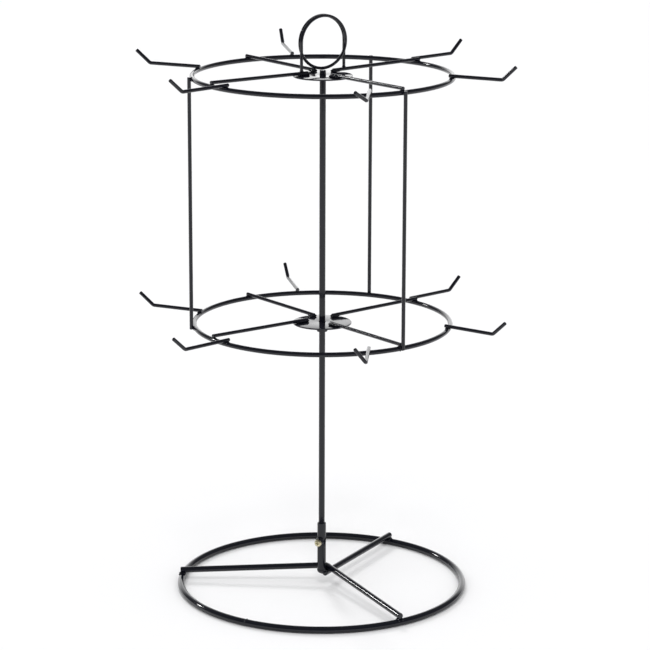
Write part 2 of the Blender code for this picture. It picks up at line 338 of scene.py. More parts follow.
def mix_colour(tree, mask, first, second):
    """A colour Mix node. Each colour is a socket or a value."""
    node = put(tree, "ShaderNodeMix", data_type="RGBA")
    for slot, value in ((0, mask), (6, first), (7, second)):
        feed(tree, node.inputs[slot], value)
    return node.outputs[2]


def spread(tree, value, low, high):
    """Maps a 0 to 1 value to a range."""
    return chain(tree, value, put(tree, "ShaderNodeMapRange", clamp=True, To_Min=low, To_Max=high))


def dress(tree, shader, colour, roughness, height, depth, strength=1.0):
    """Wires a colour, a roughness and a bump of the given depth into a shader."""
    bump = put(tree, "ShaderNodeBump", Strength=strength, Distance=depth)
    wire_up(tree, (colour, shader.inputs["Base Color"]), (roughness, shader.inputs["Roughness"]),
            (height, bump.inputs["Height"]), (bump.outputs[0], shader.inputs["Normal"]))


def black_coating(name, cells, sag, depth, roughness, dust):
    material, tree, shader = material_base(name, IOR=COAT_IOR, Specular_IOR_Level=0.5)
    peel = group_node(tree, ORANGE_PEEL, Cells_per_Metre=cells, Sag=sag)
    thin = group_node(tree, THIN_EDGES, Breakup=0.9).outputs["Mask"]
    dusty = group_node(tree, DUST, Amount=dust).outputs["Mask"]
    coat = mix_colour(tree, peel.outputs["Patches"], COAT_DARK, COAT_LIGHT)
    worn = mix_colour(tree, times(tree, thin, 0.5), coat, THIN_COAT)
    final = mix_colour(tree, times(tree, dusty, 0.35), worn, DUST_COLOUR)
    shine = spread(tree, peel.outputs["Patches"], 0.6 * roughness, 1.5 * roughness)
    dull = math_node(tree, "ADD", shine, times(tree, dusty, 0.25), clamp=True)
    dress(tree, shader, final, dull, peel.outputs["Height"], depth)
    return material


COAT_ON_WIRE = black_coating("gloss coat on wire", 620.0, 0.9, 0.012 * MM, 0.09, 0.35)
COAT_ON_SHEET = black_coating("gloss coat on sheet", 420.0, 1.6, 0.014 * MM, 0.08, 0.5)
COAT_ON_WELD = black_coating("gloss coat on weld", 1100.0, 0.6, 0.03 * MM, 0.12, 0.3)
print("coatings:", COAT_ON_WIRE.name, "|", COAT_ON_SHEET.name, "|", COAT_ON_WELD.name)

# %% [markdown]
# ## Zinc and nylon
# The lock screw is steel with yellow passivated zinc, whose thin film drifts from gold to green and rose.
# The washer under the turning frame is natural nylon, slightly waxy, with faint rings from the lathe.


# %% Zinc and nylon materials
GREEN_FILM = (0.50, 0.50, 0.30, 1.0)
GOLD_FILM = (0.70, 0.62, 0.38, 1.0)
ROSE_FILM = (0.66, 0.50, 0.32, 1.0)
BARE_ZINC = (0.80, 0.76, 0.60, 1.0)
NYLON_SHADE = (0.74, 0.71, 0.63, 1.0)
NYLON_WHITE = (0.86, 0.84, 0.78, 1.0)
NYLON_DIRT = (0.45, 0.44, 0.42, 1.0)


def yellow_zinc():
    material, tree, shader = material_base("yellow zinc", Metallic=1.0)
    peel = group_node(tree, ORANGE_PEEL, Cells_per_Metre=1500.0, Sag=0.5)
    edges = group_node(tree, THIN_EDGES, Breakup=0.6)
    film = noise(tree, Scale=330.0, Detail=3.0, Roughness=0.6, Distortion=0.8)
    ramp = put(tree, "ShaderNodeValToRGB")
    stops = ramp.color_ramp.elements
    stops[0].position, stops[0].color = 0.30, GREEN_FILM
    stops[1].position, stops[1].color = 0.72, ROSE_FILM
    stops.new(0.5).color = GOLD_FILM
    colour = mix_colour(tree, edges.outputs["Mask"], chain(tree, film, ramp), BARE_ZINC)
    shine = spread(tree, peel.outputs["Patches"], 0.18, 0.36)
    dress(tree, shader, colour, shine, peel.outputs["Height"], 0.012 * MM)
    return material


def natural_nylon():
    material, tree, shader = material_base("natural nylon", Subsurface_Weight=0.15,
                                           Subsurface_Scale=1.0 * MM)
    rings = put(tree, "ShaderNodeTexWave", wave_type="RINGS", rings_direction="Z", Scale=900.0,
                Distortion=0.6)
    wire_up(tree, (put(tree, "ShaderNodeTexCoord").outputs["Object"], rings.inputs["Vector"]))
    cloud = noise(tree, Scale=260.0, Detail=3.0)
    dusty = group_node(tree, DUST, Amount=0.5)
    body = mix_colour(tree, cloud, NYLON_SHADE, NYLON_WHITE)
    final = mix_colour(tree, dusty.outputs["Mask"], body, NYLON_DIRT)
    shine = spread(tree, cloud, 0.38, 0.55)
    dress(tree, shader, final, shine, rings.outputs["Fac"], 0.02 * MM, strength=0.6)
    return material


ZINC = yellow_zinc()
NYLON = natural_nylon()
print("metals and plastics:", ZINC.name, "|", NYLON.name)

# %% [markdown]
# ## Reading a wire from its CAD solid
# The CAD model holds each wire as a tube of flat faces. Its centreline is all that a smooth wire needs.
# Starting at one end face, each step to the neighbouring vertices lands on the next ring of the tube, and
# the middle of each ring is a point of the centreline. So no place is typed twice, and the smooth wire
# stays where the solid is.


# %% Centrelines
FLAT_WITHIN = 0.005 * MM
ROUND_WITHIN = 0.02 * MM
WIRE_WORDS = ("_rod", "spoke", "hook", "upright", "clip")


def middle_of(verts):
    """The mean place of some vertices, added up in one fixed order so that every run agrees."""
    return sum((vert.co for vert in sorted(verts, key=lambda vert: vert.index)), Vector()) / len(verts)


def end_face(corner):
    """The vertices of the end face that a corner is on: a flat set, all equally far from its middle."""
    for face in corner.link_faces:
        flat, edge_of_set = {corner}, [corner]
        while edge_of_set:
            near = {edge.other_vert(vert) for vert in edge_of_set for edge in vert.link_edges} - flat
            edge_of_set = [vert for vert in near if abs((vert.co - corner.co).dot(face.normal)) < FLAT_WITHIN]
            flat.update(edge_of_set)
        middle = middle_of(flat)
        reach = [(vert.co - middle).length for vert in flat]
        if len(flat) >= 6 and max(reach) - min(reach) < ROUND_WITHIN:
            return flat
    raise ValueError("this vertex is on no round end face")


def wire_path(node):
    """Centreline points and radius of an open wire."""
    shape = bmesh.new()
    shape.from_mesh(NODES[node].data)
    bmesh.ops.remove_doubles(shape, verts=shape.verts, dist=0.01 * MM)
    shape.verts.index_update()
    middle = middle_of(shape.verts)
    corner = max(shape.verts, key=lambda vert: (vert.co - middle).length)
    ring = end_face(corner)
    seen, points, radius = set(), [], None
    while ring:
        seen |= ring
        points.append(middle_of(ring))
        radius = radius or (corner.co - points[0]).length
        ring = {edge.other_vert(vert) for vert in ring for edge in vert.link_edges} - seen
    shape.free()
    return points, radius


def ring_path(node, steps=120):
    """Centreline points and radius of a closed ring that lies level round the pole."""
    low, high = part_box(node)
    rod = (high.z - low.z) / 2
    radius = high.x - rod
    return [spot(radius, math.tau * i / steps, low.z + rod) for i in range(steps)], rod


RINGS = ["base_ring"] + [f"{tier}_ring" for tier in TIERS]
WIRES = [node for node in sorted(NODES) if any(word in node for word in WIRE_WORDS)]
PATHS = {node: ring_path(node) for node in RINGS} | {node: wire_path(node) for node in WIRES}
for node in ("base_ring", "base_cross_rod", "top_hook_1", "sign_clip"):
    print(f"{node}: {len(PATHS[node][0])} points, {2 * PATHS[node][1] / MM:.2f} mm wire")

# %% [markdown]
# ## The wire tree
# Rods and wires make up nearly the whole rack, and all follow one rule: a circle swept along a bent
# line. The Geometry Nodes tree takes a line of edges, smooths it through its points, and sweeps the
# circle along it. Two values ride on the points. Reach is the radius, which shrinks at the two ends to
# round the sheared edge, and edge marks those ends for the thin coating there.


# %% Wire tree
def coated(tree, geometry, coating):
    """The last steps of a tree: real geometry, with its coating on."""
    coat = put(tree, "GeometryNodeSetMaterial")
    wire_up(tree, (coating, coat.inputs["Material"]))
    return chain(tree, geometry, put(tree, "GeometryNodeRealizeInstances"), coat)


def wire_tree():
    tree = bpy.data.node_groups.new("bent wire", "GeometryNodeTree")
    ins, outs = declare(tree, [("Line", GEOMETRY), ("Sides", "NodeSocketInt", 20),
                               ("Steps", "NodeSocketInt", 3), ("Coating", "NodeSocketMaterial")],
                        [("Wire", GEOMETRY)])
    finer = put(tree, "GeometryNodeSetSplineResolution")
    reach = put(tree, "GeometryNodeInputNamedAttribute", data_type="FLOAT", Name="reach")
    circle = put(tree, "GeometryNodeCurvePrimitiveCircle", Radius=1.0)
    sweep = put(tree, "GeometryNodeCurveToMesh", Fill_Caps=True)
    wire = chain(tree, ins["Line"], put(tree, "GeometryNodeMeshToCurve"),
                 put(tree, "GeometryNodeCurveSplineType", spline_type="BEZIER"),
                 put(tree, "GeometryNodeCurveSetHandles", handle_type="AUTO"), finer, sweep,
                 put(tree, "GeometryNodeSetShadeSmooth"))
    wire_up(tree, (ins["Steps"], finer.inputs["Resolution"]), (ins["Sides"], circle.inputs["Resolution"]),
            (circle.outputs[0], sweep.inputs["Profile Curve"]), (reach.outputs[0], sweep.inputs["Scale"]),
            (coated(tree, wire, ins["Coating"]), outs["Wire"]))
    return tree


def plain_mesh(obj):
    """The mesh that an object's modifiers make."""
    graph = bpy.context.evaluated_depsgraph_get()
    return bpy.data.meshes.new_from_object(obj.evaluated_get(graph), preserve_all_data_layers=True,
                                           depsgraph=graph)


def grow(source, tree, name, **values):
    """Runs a tree on an object and keeps the result as a plain mesh object."""
    modifier = source.modifiers.new(tree.name, "NODES")
    modifier.node_group = tree
    for item in tree.interface.items_tree:
        if item.in_out == "INPUT" and item.name in values:
            modifier[item.identifier] = values[item.name]
    mesh = plain_mesh(source)
    bpy.data.objects.remove(source)
    mesh.name = name
    return show(mesh, name)


def show(mesh, name):
    piece = bpy.data.objects.new(name, mesh)
    scene.collection.objects.link(piece)
    return piece


def seam(run, reach, loop=False):
    """A line with one reach all along and no edge marks."""
    return run, [reach] * len(run), [0.0] * len(run), loop


def line_object(lines):
    """An object of bare edges. Each line is (points, reach of each point, edge of each point, closed)."""
    mesh = bpy.data.meshes.new("line")
    places, edges, reach, wear = [], [], [], []
    for points, reaches, wears, closed in lines:
        first = len(places)
        last = first + len(points) - 1
        places += points
        reach += reaches
        wear += wears
        edges += [(i, i + 1) for i in range(first, last)] + ([(last, first)] if closed else [])
    mesh.from_pydata(places, edges, [])
    for name, values in (("reach", reach), ("edge", wear)):
        mesh.attributes.new(name, "FLOAT", "POINT").data.foreach_set("value", values)
    return show(mesh, "line")


WIRE_TREE = wire_tree()
print("tree:", WIRE_TREE.name, "with", len(WIRE_TREE.nodes), "nodes")

# %% [markdown]
# ## Bends and sheared ends
# A smooth curve through unevenly spaced points swings wide where a long straight meets a tight bend.
# Extra points just before and after each bend hold it in. At each end, a few points follow a quarter
# circle, so the shear mark keeps its flat face but loses its sharp rim under the coating.
#
# The CAD model leaves 0.3 mm between any two pieces that are welded together. Each wire is made fatter
# by half of that, so welded wires meet. The base ring keeps its size, because it stands on the table.


# %% Smooth wires
SNUG = 0.15 * MM
LONG = 2.5  # a straight this many times longer than the next one is held beside the bend
SHEAR_ROUNDING = 0.28  # how much of its radius a wire loses at a rounded end


def hold_bends(points):
    """Adds a point on each long straight, beside the bend at either end of it."""
    held = [points[0]]
    for i in range(1, len(points)):
        start, end = points[i - 1], points[i]
        length = (end - start).length
        way = (end - start) / length
        before = (start - points[i - 2]).length if i > 1 else length
        after = (points[i + 1] - end).length if i + 1 < len(points) else length
        if length > LONG * before:
            held.append(start + way * before)
        if length > LONG * after:
            held.append(end - way * after)
        held.append(end)
    return held


def rounded_end(end, inside, radius, edge, steps=5):
    """Points, radii and edge marks from an end face to where the wire has its full radius."""
    way = (inside - end).normalized()
    points, reach = [], []
    for i in range(steps + 1):
        turn = math.pi / 2 * i / steps
        points.append(end + way * edge * (1 - math.cos(turn)))
        reach.append(radius - edge * (1 - math.sin(turn)))
    points.append(end + way * edge * 2.2)
    return points, reach + [radius], [1.0] * steps + [0.6, 0.0]


def wire_line(points, radius, edge):
    """The whole line of an open wire, its rounded ends included."""
    head, head_reach, head_wear = rounded_end(points[0], points[1], radius, edge)
    tail, tail_reach, tail_wear = rounded_end(points[-1], points[-2], radius, edge)
    middle = hold_bends(points)[1:-1]
    return (head + middle + tail[::-1], head_reach + [radius] * len(middle) + tail_reach[::-1],
            head_wear + [0.0] * len(middle) + tail_wear[::-1], False)


def fit(piece, *nodes):
    """Puts a finished piece on its body, in place of its CAD nodes."""
    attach(piece, BODY_OF[nodes[0]])
    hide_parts(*nodes)
    return piece


def make_wire(node):
    points, radius = PATHS[node]
    source = line_object([wire_line(points, radius + SNUG, SHEAR_ROUNDING * radius)])
    return fit(grow(source, WIRE_TREE, f"{node}_wire", Sides=20, Coating=COAT_ON_WIRE), node)


def make_ring(node):
    points, radius = PATHS[node]
    radius += 0.0 if node == "base_ring" else SNUG
    source = line_object([seam(points, radius, loop=True)])
    return fit(grow(source, WIRE_TREE, f"{node}_wire", Sides=24, Steps=2, Coating=COAT_ON_WIRE), node)


made = [make_ring(node) for node in RINGS] + [make_wire(node) for node in WIRES]
print(len(made), "wires,", sum(len(piece.data.polygons) for piece in made), "faces")

# %% [markdown]
# ## Turned pieces
# The pole, its socket, the collar, the washer and the two hub plates are all round about the pole, so
# each is an outline spun through a full turn. The corners of the outline are rounded first, because a
# coated or stamped edge is never sharp, and only a rounded edge catches the light.


# %% Lathe
def soften(outline, edge, steps=4):
    """Rounds the corners of a closed (radius, height) outline that are off the axis, and marks them."""
    soft, wear = [], []
    corners = [Vector(point) for point in outline]
    for i, corner in enumerate(corners):
        back = corners[i - 1] - corner
        ahead = corners[(i + 1) % len(corners)] - corner
        size = min(edge, 0.45 * back.length, 0.45 * ahead.length)
        if corner.x < 1e-6 or edge == 0.0:
            soft.append(corner)
            wear.append(0.0)
            continue
        start, end = corner + back.normalized() * size, corner + ahead.normalized() * size
        for k in range(steps + 1):
            t = k / steps
            soft.append(start * (1 - t) ** 2 + corner * 2 * t * (1 - t) + end * t ** 2)
            wear.append(1.0 if 0 < k < steps else 0.5)
    return soft, wear


def kept_mesh(shape, name):
    mesh = bpy.data.meshes.new(name)
    shape.to_mesh(mesh)
    shape.free()
    return mesh


def lathe(name, outline, edge, turns=64):
    """A closed mesh spun about Z from an outline, with its edge marks."""
    points, wear = soften(outline, edge)
    shape = bmesh.new()
    mark = shape.verts.layers.float.new("edge")
    verts = [shape.verts.new((point.x, 0.0, point.y)) for point in points]
    for vert, value in zip(verts, wear):
        vert[mark] = value
    pairs = [(verts[i - 1], verts[i]) for i in range(len(verts))]
    edges = [shape.edges.new(pair) for pair in pairs if any(vert.co.x > 1e-7 for vert in pair)]
    bmesh.ops.spin(shape, geom=verts + edges, cent=(0, 0, 0), axis=(0, 0, 1), angle=math.tau,
                   steps=turns, use_merge=True)
    bmesh.ops.remove_doubles(shape, verts=shape.verts, dist=0.001 * MM)
    bmesh.ops.recalc_face_normals(shape, faces=shape.faces)
    mesh = kept_mesh(shape, name)
    mesh.shade_smooth()
    return mesh


def coat_with(mesh, coating):
    mesh.materials.clear()
    mesh.materials.append(coating)


def bore_of(node):
    """Radius of the hole that a node has round the pole."""
    return min(math.hypot(vert.co.x, vert.co.y) for vert in NODES[node].data.vertices)


def tube_outline(inner, outer, bottom, top):
    return [(inner, bottom), (outer, bottom), (outer, top), (inner, top)]


print(f"lathe ready: the stop collar's bore is {2 * bore_of('stop_collar') / MM:.2f} mm")

# %% [markdown]
# ## Pole, collar, washer and hub plates
# The pole is drawn rod, rounded over at both ends. The collar holds the height of the turning frame, and
# the nylon washer between them keeps steel off steel. A hub plate is stamped from sheet, with a soft rim.


# %% Turn the pole pieces
STEEL_EDGE = 0.5 * MM
NYLON_EDGE = 0.3 * MM


def turned_piece(node, coating, edge=STEEL_EDGE, turns=64):
    """A round piece in place of its node. The pole is solid, and the others have a bore."""
    low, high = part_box(node)
    solid = node == "pole"
    mesh = lathe(node, tube_outline(0.0 if solid else bore_of(node), high.x, low.z, high.z), edge, turns)
    coat_with(mesh, coating)
    return fit(show(mesh, "pole_rod" if solid else f"{node}_turned"), node)


turned = [turned_piece("pole", COAT_ON_WIRE), turned_piece("stop_collar", COAT_ON_SHEET),
          turned_piece("thrust_washer", NYLON, NYLON_EDGE)]
turned += [turned_piece(f"{tier}_hub_plate", COAT_ON_SHEET, turns=96) for tier in TIERS]
print("turned:", ", ".join(piece.name for piece in turned))

# %% [markdown]
# ## The clamp
# The pole drops into a short tube that is closed below. A screw through a nut welded on the tube's side
# grips the pole at the height wanted. The screw lies at its own angle, so these pieces are made upright
# on the bench, with the screw's axis along Z, and then laid in place by one matrix.

# %% Screw axis
screw_joint = next(joint for joint in frame["joints"] if joint["child"] == "lock_screw")
screw_way = Vector(screw_joint["axis"]).normalized()
screw_low, screw_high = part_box("lock_screw")
SCREW_HEIGHT = (screw_low.z + screw_high.z) / 2
TO_SCREW = Matrix.Translation((0, 0, SCREW_HEIGHT)) @ screw_way.to_track_quat("Z", "Y").to_matrix().to_4x4()


def along_screw(node):
    """Each vertex of a node as (distance along the screw's axis, distance from it)."""
    to_bench = TO_SCREW.inverted()
    places = [to_bench @ vert.co for vert in NODES[node].data.vertices]
    return [(place.z, math.hypot(place.x, place.y)) for place in places]


screw_marks = along_screw("lock_screw")
SCREW_TIP = min(z for z, r in screw_marks)
SCREW_TOP = max(z for z, r in screw_marks)
HEAD_RADIUS = max(r for z, r in screw_marks)
SHANK_RADIUS = max(r for z, r in screw_marks if z < SCREW_TIP + 3 * MM)
HEAD_SEAT = min(z for z, r in screw_marks if r > SHANK_RADIUS + 0.5 * MM)
nut_marks = along_screw("weld_nut")
NUT_NEAR, NUT_FAR = min(z for z, r in nut_marks), max(z for z, r in nut_marks)
NUT_HOLE, NUT_CORNER = min(r for z, r in nut_marks), max(r for z, r in nut_marks)
print(f"screw {2 * SHANK_RADIUS / MM:.1f} mm, {(SCREW_TOP - SCREW_TIP) / MM:.1f} mm long,",
      f"head {2 * HEAD_RADIUS / MM:.1f} mm")

# %% [markdown]
# ## The screw thread tree
# A thread is a ridge that follows a spiral, so Geometry Nodes sweeps a small triangle along one. The
# tree joins it to the plain screw that it is given. Its turns, length, root and ridge are inputs.


# %% Thread tree
def thread_tree():
    tree = bpy.data.node_groups.new("screw thread", "GeometryNodeTree")
    ins, outs = declare(tree, [("Blank", GEOMETRY), ("Turns", FLOAT), ("Length", FLOAT), ("Root", FLOAT),
                               ("Start", "NodeSocketVector"), ("Ridge", FLOAT),
                               ("Plating", "NodeSocketMaterial")], [("Screw", GEOMETRY)])
    spiral = put(tree, "GeometryNodeCurveSpiral", Resolution=32)
    ridge = put(tree, "GeometryNodeCurvePrimitiveCircle", Resolution=3)
    sweep = put(tree, "GeometryNodeCurveToMesh", Fill_Caps=True)
    lift = put(tree, "GeometryNodeTransform")
    both = put(tree, "GeometryNodeJoinGeometry")
    wire_up(tree, (ins["Turns"], spiral.inputs["Rotations"]), (ins["Length"], spiral.inputs["Height"]),
            (ins["Root"], spiral.inputs["Start Radius"]), (ins["Root"], spiral.inputs["End Radius"]),
            (ins["Ridge"], ridge.inputs["Radius"]), (ridge.outputs[0], sweep.inputs["Profile Curve"]),
            (ins["Start"], lift.inputs["Translation"]),
            (chain(tree, spiral.outputs[0], sweep, lift), both.inputs[0]), (ins["Blank"], both.inputs[0]),
            (coated(tree, both.outputs[0], ins["Plating"]), outs["Screw"]))
    return tree


THREAD_TREE = thread_tree()
print("tree:", THREAD_TREE.name)

# %% [markdown]
# ## Lock screw
# The head is a pan head with a cross recess. The recess tapers, so its cutter is one plus-shaped loop
# that is wide at the top and narrow at the bottom, taken out with a Boolean.


# %% Lock screw
THREAD_PITCH = 0.7 * MM
THREAD_DEPTH = 0.34 * MM
RUN_OUT = 1.1 * MM  # plain shank left between the thread and the head
CHAMFER = 0.5 * MM
HEAD_FLATNESS = 0.55  # 1 makes the head's side a quarter oval, and less makes it squarer
RECESS = ((0.62, 0.55, 0.3), (0.52, 0.45, -0.4), (0.20, 0.30, -1.6))  # reach / head, half width, height
SHARP_ABOVE = 32  # degrees


def carve(obj, *cutters):
    """Takes closed cutters out of an object, and keeps the result as its mesh."""
    for cutter in cutters:
        boolean = obj.modifiers.new("carve", "BOOLEAN")
        boolean.operation = "DIFFERENCE"
        boolean.solver = "EXACT"
        boolean.object = cutter
    mesh = plain_mesh(obj)
    obj.modifiers.clear()
    obj.data = mesh
    for cutter in cutters:
        bpy.data.objects.remove(cutter)
    mesh.shade_smooth()
    mesh.set_sharp_from_angle(angle=math.radians(SHARP_ABOVE))
    return obj


def plus_loop(shape, reach, half, z):
    """Corners of a plus sign at one height."""
    arm = [(half, -half), (reach, -half * 0.8), (reach, half * 0.8)]
    turns = [Matrix.Rotation(quarter * math.pi / 2, 3, "Z") for quarter in range(4)]
    return [shape.verts.new(turn @ Vector((x, y, 0)) + Vector((0, 0, z))) for turn in turns for x, y in arm]


def recess_cutter():
    shape = bmesh.new()
    loops = [plus_loop(shape, reach * HEAD_RADIUS, half * MM, SCREW_TOP + rise * MM)
             for reach, half, rise in RECESS]
    for upper, lower in zip(loops, loops[1:]):
        for i in range(len(upper)):
            shape.faces.new((upper[i - 1], upper[i], lower[i], lower[i - 1]))
    shape.faces.new(loops[0])
    shape.faces.new(loops[-1][::-1])
    bmesh.ops.recalc_face_normals(shape, faces=shape.faces)
    return show(kept_mesh(shape, "recess"), "recess")


def make_lock_screw():
    root = SHANK_RADIUS - THREAD_DEPTH
    tall = SCREW_TOP - HEAD_SEAT
    dome = [(HEAD_RADIUS * math.cos(a) ** HEAD_FLATNESS, SCREW_TOP - tall * 0.62 * (1 - math.sin(a)))
            for a in (math.radians(d) for d in range(5, 90, 14))]
    outline = [(0.0, SCREW_TIP), (0.7 * root, SCREW_TIP), (root, SCREW_TIP + CHAMFER),
               (root, HEAD_SEAT - CHAMFER), (SHANK_RADIUS, HEAD_SEAT), (HEAD_RADIUS * 0.97, HEAD_SEAT),
               (HEAD_RADIUS, HEAD_SEAT + 0.25 * MM)]
    blank = show(lathe("screw blank", outline + dome + [(0.0, SCREW_TOP)], 0.1 * MM, 72), "screw blank")
    blank = carve(blank, recess_cutter())
    length = HEAD_SEAT - SCREW_TIP - RUN_OUT
    screw = grow(blank, THREAD_TREE, "lock_screw_threaded", Turns=length / THREAD_PITCH, Length=length,
                 Root=root, Start=(0.0, 0.0, SCREW_TIP + 0.6 * MM), Ridge=THREAD_DEPTH, Plating=ZINC)
    screw.data.transform(TO_SCREW)
    return fit(screw, "lock_screw")


lock_screw = make_lock_screw()
print("lock screw:", len(lock_screw.data.polygons), "faces,", round(THREAD_PITCH / MM, 2), "mm pitch")

# %% [markdown]
# ## Socket and weld nut
# The socket is a length of tube with a floor inside and a narrowed lower end. The nut's corners are
# turned off at 30 degrees on both faces, as a lathe does it: a barrel shape is turned first, and the six
# flats are cut off it.


# %% Socket and nut
TUBE_EDGE = 0.45 * MM
NUT_EDGE = 0.12 * MM
NUT_BEVEL = math.radians(30)


def plain_round(name, radius, bottom, top, sides=48):
    """A closed round or many-sided bar along Z."""
    shape = bmesh.new()
    bmesh.ops.create_cone(shape, cap_ends=True, segments=sides, radius1=radius, radius2=radius,
                          depth=top - bottom)
    bmesh.ops.translate(shape, verts=shape.verts, vec=(0, 0, (top + bottom) / 2))
    return show(kept_mesh(shape, name), name)


def socket_bore():
    """Radius and floor height of the bore, read from the vertices inside the tube."""
    low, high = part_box("base_socket")
    inside = [vert.co for vert in NODES["base_socket"].data.vertices
              if 1 * MM < math.hypot(vert.co.x, vert.co.y) < high.x - 1 * MM]
    rim = [math.hypot(place.x, place.y) for place in inside if place.z > high.z - 0.1 * MM]
    return min(rim), min(place.z for place in inside if place.z > low.z + 1 * MM)


def make_socket():
    low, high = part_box("base_socket")
    bore, ground = socket_bore()
    outline = [(0.0, low.z), (0.72 * high.x, low.z), (high.x, low.z + 1.0 * MM), (high.x, high.z),
               (bore, high.z), (bore, ground), (0.0, ground)]
    tube = show(lathe("socket blank", outline, TUBE_EDGE, 80), "base_socket_tube")
    drill = plain_round("drill", NUT_HOLE, 0.0, 2 * high.x)
    drill.data.transform(TO_SCREW)
    tube = carve(tube, drill)
    coat_with(tube.data, COAT_ON_SHEET)
    return fit(tube, "base_socket")


def make_nut():
    flats = NUT_CORNER * math.cos(math.pi / 6)
    slope = (NUT_CORNER - flats) * math.tan(NUT_BEVEL) + 0.15 * MM
    barrel = [(NUT_HOLE, NUT_NEAR), (flats * 0.97, NUT_NEAR), (NUT_CORNER, NUT_NEAR + slope),
              (NUT_CORNER, NUT_FAR - slope), (flats * 0.97, NUT_FAR), (NUT_HOLE, NUT_FAR)]
    nut = show(lathe("nut blank", barrel, NUT_EDGE, 72), "weld_nut_hexagon")
    cutters = []
    for side in range(6):
        slab = plain_round("flat", 2 * NUT_CORNER, NUT_NEAR - 1 * MM, NUT_FAR + 1 * MM, 4)
        slab.data.transform(Matrix.Rotation(math.pi / 4, 4, "Z"))
        offset = Matrix.Translation((flats + math.sqrt(2) * NUT_CORNER, 0, 0))
        slab.data.transform(Matrix.Rotation(math.radians(60 * side + 30), 4, "Z") @ offset)
        cutters.append(slab)
    nut = carve(nut, *cutters)
    nut.data.transform(TO_SCREW)
    coat_with(nut.data, COAT_ON_SHEET)
    return fit(nut, "weld_nut")


clamp = [make_socket(), make_nut()]
print("clamp:", ", ".join(f"{piece.name} {len(piece.data.polygons)} faces" for piece in clamp))

# %% [markdown]
# ## Where the welds are
# Wherever one wire lies on another it is welded, with a short bead down each side of the upper wire. The
# place comes from the two centrelines: the nearest pair of points gives the contact, and the
# upper wire's direction there gives the sides. Each bead is a short line with a reach, for the weld tree.


# %% Contact of two wires
def fill_in(points, spacing=0.4 * MM):
    """The same line with points close together, and the direction at each."""
    places, ways = [], []
    for start, end in zip(points, points[1:]):
        count = max(1, int((end - start).length / spacing))
        places += [start.lerp(end, k / count) for k in range(count)]
        ways += [(end - start).normalized()] * count
    return np.array(places), np.array(ways)


def contact(upper, lower):
    """Nearest points of two lines, and the direction of the upper one there."""
    upper_places, upper_ways = fill_in(upper)
    lower_places = fill_in(lower)[0]
    apart = np.linalg.norm(upper_places[:, None] - lower_places[None], axis=2)
    i, j = np.unravel_index(np.argmin(apart), apart.shape)
    return Vector(upper_places[i]), Vector(lower_places[j]), Vector(upper_ways[i])


def side_beads(upper, upper_radius, lower, lower_radius, reach):
    """A bead on each side of a wire that lies across another one."""
    on_upper, on_lower, way = contact(upper, lower)
    away = (on_upper - on_lower).normalized()
    side = away.cross(way).normalized()
    beads = []
    for sign in (-1, 1):
        run = []
        for t in (-0.75, -0.25, 0.25, 0.75):
            drop = lower_radius * (1 - math.sqrt(1 - t * t))
            start = on_lower + away * (lower_radius - drop + 0.25 * reach) + way * t * lower_radius
            run.append(start + side * sign * (0.55 * upper_radius + 0.45 * reach))
        beads.append(seam(run, reach))
    return beads


def closed(points):
    return points + points[:1]


print("weld helpers ready")

# %% [markdown]
# ## The weld tree
# A weld bead is a row of frozen drops. The tree drops points along each line, nudges and resizes them at
# random from a fixed seed, melts them into one volume, and skins it. The result is one lumpy surface
# that runs together where beads meet, which swept tubes would never do.


# %% Weld tree
def weld_tree():
    tree = bpy.data.node_groups.new("weld bead", "GeometryNodeTree")
    ins, outs = declare(tree, [("Seams", GEOMETRY), ("Drop Spacing", FLOAT, 0.0004),
                               ("Unevenness", FLOAT, 0.14), ("Grain", FLOAT, 0.0002),
                               ("Seed", "NodeSocketInt", 1), ("Coating", "NodeSocketMaterial")],
                        [("Welds", GEOMETRY)])
    drops = put(tree, "GeometryNodeCurveToPoints", mode="LENGTH")
    reach = put(tree, "GeometryNodeInputNamedAttribute", data_type="FLOAT", Name="reach")
    size = put(tree, "FunctionNodeRandomValue", data_type="FLOAT")
    nudge = put(tree, "FunctionNodeRandomValue", data_type="FLOAT_VECTOR")
    nudge.inputs[0].default_value = (-1, -1, -1)
    move = put(tree, "GeometryNodeSetPosition")
    scale = put(tree, "ShaderNodeVectorMath", operation="SCALE")
    melt = put(tree, "GeometryNodePointsToVolume", resolution_mode="VOXEL_SIZE")
    skin = put(tree, "GeometryNodeVolumeToMesh", resolution_mode="VOXEL_SIZE", Threshold=0.2)
    relax = put(tree, "GeometryNodeSetPosition")
    place = put(tree, "GeometryNodeInputPosition")
    blur = put(tree, "GeometryNodeBlurAttribute", data_type="FLOAT_VECTOR", Iterations=10)
    low = math_node(tree, "SUBTRACT", 1.0, ins["Unevenness"])
    high = math_node(tree, "ADD", 1.0, ins["Unevenness"])
    radius = times(tree, reach.outputs[0], size.outputs[1])
    shift = times(tree, reach.outputs[0], ins["Unevenness"])
    welds = chain(tree, ins["Seams"], put(tree, "GeometryNodeMeshToCurve"), drops, move, melt, skin, relax,
                  put(tree, "GeometryNodeSetShadeSmooth"))
    wire_up(tree, (ins["Drop Spacing"], drops.inputs["Length"]), (ins["Seed"], size.inputs["Seed"]),
            (low, size.inputs[2]), (high, size.inputs[3]), (ins["Seed"], nudge.inputs["Seed"]),
            (nudge.outputs[0], scale.inputs[0]), (shift, scale.inputs["Scale"]),
            (scale.outputs[0], move.inputs["Offset"]), (radius, melt.inputs["Radius"]),
            (ins["Grain"], melt.inputs["Voxel Size"]), (ins["Grain"], skin.inputs["Voxel Size"]),
            (place.outputs[0], blur.inputs[0]), (blur.outputs[0], relax.inputs["Position"]),
            (coated(tree, welds, ins["Coating"]), outs["Welds"]))
    return tree


WELD_TREE = weld_tree()


